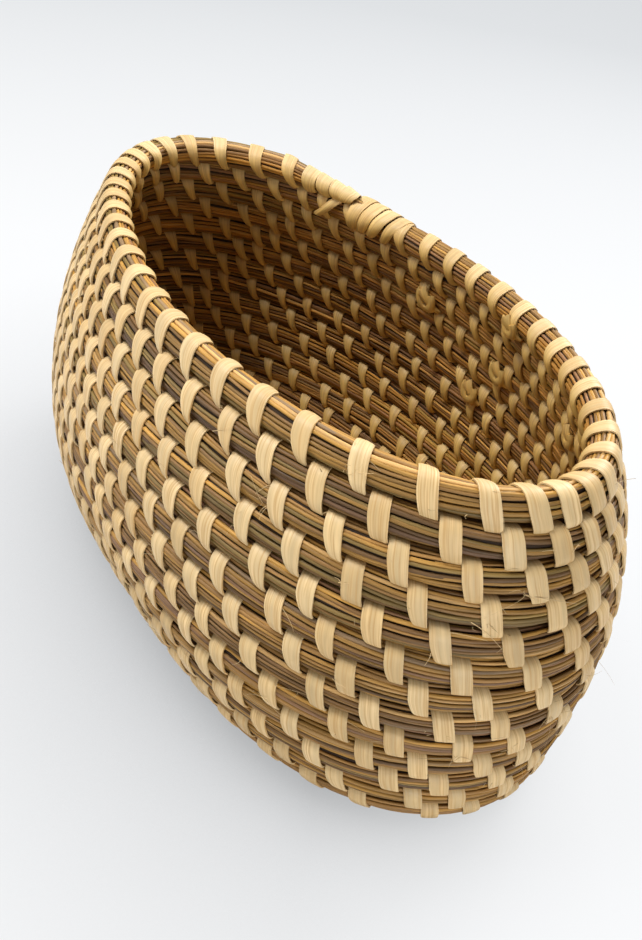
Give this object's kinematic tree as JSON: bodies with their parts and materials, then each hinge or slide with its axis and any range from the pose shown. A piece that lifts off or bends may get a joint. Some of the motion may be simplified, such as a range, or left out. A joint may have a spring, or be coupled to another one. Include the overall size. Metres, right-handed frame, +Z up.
{
  "type": "coiled bulrush basket",
  "caption": "Oval open basket coiled from one bundle of bulrush stems, each row bound to the row below with flat pale strips, for holding small dry things.",
  "frame": {"origin": "under the middle of the base, on the surface that the basket stands on", "axes": "+Z up, +X along the oval towards its fuller end, +Y across the oval to the side where the coil ends on the rim"},
  "size_m": [0.3279, 0.1936, 0.1702],
  "materials": {
    "reed": "dry matt bulrush stems, mixed browns",
    "strip": "split pale straw-coloured strip, satin"
  },
  "bodies": {
    "root": {"foundation_coil": "reed", "wall_binding_01": "strip", "wall_binding_02": "strip", "wall_binding_03": "strip", "wall_binding_04": "strip", "wall_binding_05": "strip", "wall_binding_06": "strip", "wall_binding_07": "strip", "wall_binding_08": "strip", "wall_binding_09": "strip", "wall_binding_10": "strip", "wall_binding_11": "strip", "wall_binding_12": "strip", "rim_end_binding": "strip"}
  },
  "joints": []
}
